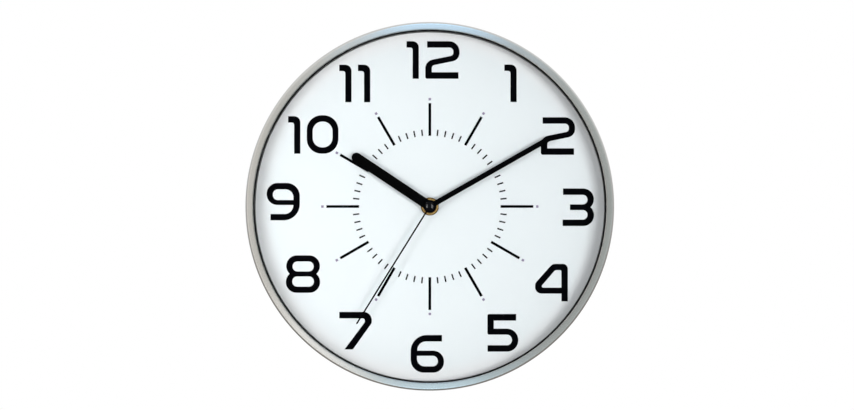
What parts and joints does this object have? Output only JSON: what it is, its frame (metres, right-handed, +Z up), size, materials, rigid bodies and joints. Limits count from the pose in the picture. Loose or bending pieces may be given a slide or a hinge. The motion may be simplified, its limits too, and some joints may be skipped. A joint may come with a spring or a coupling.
{
  "type": "quartz wall clock",
  "caption": "Round quartz wall clock with a satin metal ring, flat glass, white dial with upright numerals, three black hands and a battery movement behind.",
  "frame": {"origin": "on the hands' axis at the wall plane, which is the case's rear rim", "axes": "+Z up to twelve o'clock, +X to three o'clock, -Y out of the dial towards the viewer"},
  "size_m": [0.3, 0.0408, 0.3],
  "materials": {
    "satin_aluminium": "satin, brushed around the ring",
    "black_abs": "moulded, fine grain",
    "zinc_steel": "zinc plated",
    "flat_glass": "clear, polished",
    "black_rubber": "matt",
    "white_dial": "matt white",
    "black_ink": "printed ink",
    "lilac_ink": "printed ink",
    "movement_plastic": "moulded",
    "gear_plastic": "moulded acetal",
    "brass": "turned",
    "board_laminate": "lacquered laminate",
    "black_resin": "cast drop",
    "copper_wire": "enamelled wire",
    "soft_iron": "stamped",
    "bright_steel": "nickel plated",
    "knob_plastic": "moulded",
    "black_paint": "matt black paint",
    "black_gloss": "polished",
    "cell_shell": "nickel plated",
    "cell_sleeve": "shrink film"
  },
  "bodies": {
    "case": {"bezel_ring": "satin_aluminium", "rear_case": "black_abs", "wall_hanger": "black_abs", "case_screws": "zinc_steel", "lens": "flat_glass", "lens_seal": "black_rubber", "dial": "white_dial", "numerals": "black_ink", "hour_bars": "black_ink", "minute_ticks": "black_ink", "hour_dots": "lilac_ink", "movement_back": "movement_plastic", "battery_bay": "movement_plastic", "movement_front": "movement_plastic", "train_plate": "gear_plastic", "threaded_bush": "brass", "rubber_washer": "black_rubber", "brass_washer": "brass", "fixing_nut": "brass", "circuit_board": "board_laminate", "chip_drop": "black_resin", "crystal_can": "zinc_steel", "coil_bobbin": "gear_plastic", "coil_winding": "copper_wire", "coil_core": "soft_iron", "stator_plate": "soft_iron", "contact_positive": "bright_steel", "contact_negative": "bright_steel"},
    "minutes": {"centre_wheel": "gear_plastic", "cannon_tube": "brass", "minute_hand": "black_paint"},
    "hours": {"hour_wheel": "gear_plastic", "hour_hand": "black_paint"},
    "seconds": {"seconds_wheel": "gear_plastic", "seconds_arbor": "bright_steel", "second_hand": "black_paint", "second_cap": "black_gloss"},
    "third": {"third_wheel": "gear_plastic"},
    "intermediate": {"intermediate_wheel": "gear_plastic"},
    "rotor": {"rotor_pinion": "gear_plastic", "rotor_magnet": "soft_iron"},
    "motion_work": {"motion_wheel": "gear_plastic", "setting_knob": "knob_plastic"},
    "battery": {"battery_can": "cell_shell", "battery_sleeve": "cell_sleeve"}
  },
  "joints": [
    {"name": "minutes_turn", "type": "hinge", "parent": "case", "child": "minutes", "pos_m": [0, 0, 0], "axis": [0, 1, 0], "continuous": true},
    {"name": "hours_turn", "type": "hinge", "parent": "case", "child": "hours", "pos_m": [0, 0, 0], "axis": [0, 1, 0], "continuous": true},
    {"name": "seconds_turn", "type": "hinge", "parent": "case", "child": "seconds", "pos_m": [0, 0, 0], "axis": [0, 1, 0], "continuous": true},
    {"name": "third_turn", "type": "hinge", "parent": "case", "child": "third", "pos_m": [-0.00922, 0, 0.00163], "axis": [0, 1, 0], "continuous": true},
    {"name": "intermediate_turn", "type": "hinge", "parent": "case", "child": "intermediate", "pos_m": [0.00888, 0, 0.00323], "axis": [0, 1, 0], "continuous": true},
    {"name": "rotor_turn", "type": "hinge", "parent": "case", "child": "rotor", "pos_m": [0.01274, 0, 0.00783], "axis": [0, 1, 0], "continuous": true},
    {"name": "motion_work_turn", "type": "hinge", "parent": "case", "child": "motion_work", "pos_m": [-0.00175, 0, 0.00993], "axis": [0, 1, 0], "continuous": true},
    {"name": "battery_out", "type": "slide", "parent": "case", "child": "battery", "axis": [0, 1, 0], "range_m": [0, 0.025]}
  ],
  "couplings": [
    {"joint": "hours_turn", "follows": "minutes_turn", "ratio": 0.083333},
    {"joint": "seconds_turn", "follows": "minutes_turn", "ratio": 60},
    {"joint": "third_turn", "follows": "minutes_turn", "ratio": -7.5},
    {"joint": "intermediate_turn", "follows": "minutes_turn", "ratio": -360},
    {"joint": "rotor_turn", "follows": "minutes_turn", "ratio": 1800},
    {"joint": "motion_work_turn", "follows": "minutes_turn", "ratio": -0.33333}
  ]
}
